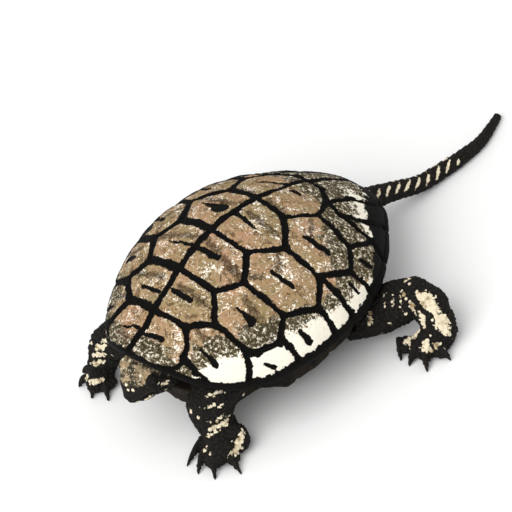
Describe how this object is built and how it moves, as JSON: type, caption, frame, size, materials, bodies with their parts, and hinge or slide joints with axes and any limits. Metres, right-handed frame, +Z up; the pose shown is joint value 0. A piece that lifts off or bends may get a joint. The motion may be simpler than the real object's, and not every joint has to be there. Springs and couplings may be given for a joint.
{
  "type": "fossil turtle",
  "caption": "Petrified turtle standing on its feet: a keeled, domed shell of raised scutes with its lower shell, head, long ringed tail and clawed legs, in mottled tan and black stone.",
  "frame": {"origin": "on the ground the feet stand on, under the middle of the whole length and width", "axes": "+Z up, -Y towards the head, +Y towards the tail, +X towards the animal's left side"},
  "size_m": [0.2518, 0.3334, 0.1106],
  "materials": {
    "shell_stone": "mottled tan and cream stone, matt, with near-black seams",
    "belly_stone": "dark brown-black stone, matt",
    "limb_stone": "near-black stone with pale worn scales, matt"
  },
  "bodies": {
    "root": {"carapace": "shell_stone", "plastron": "belly_stone", "head": "limb_stone", "tail": "limb_stone", "front_left_leg": "limb_stone", "front_right_leg": "limb_stone", "hind_left_leg": "limb_stone", "hind_right_leg": "limb_stone"}
  },
  "joints": []
}
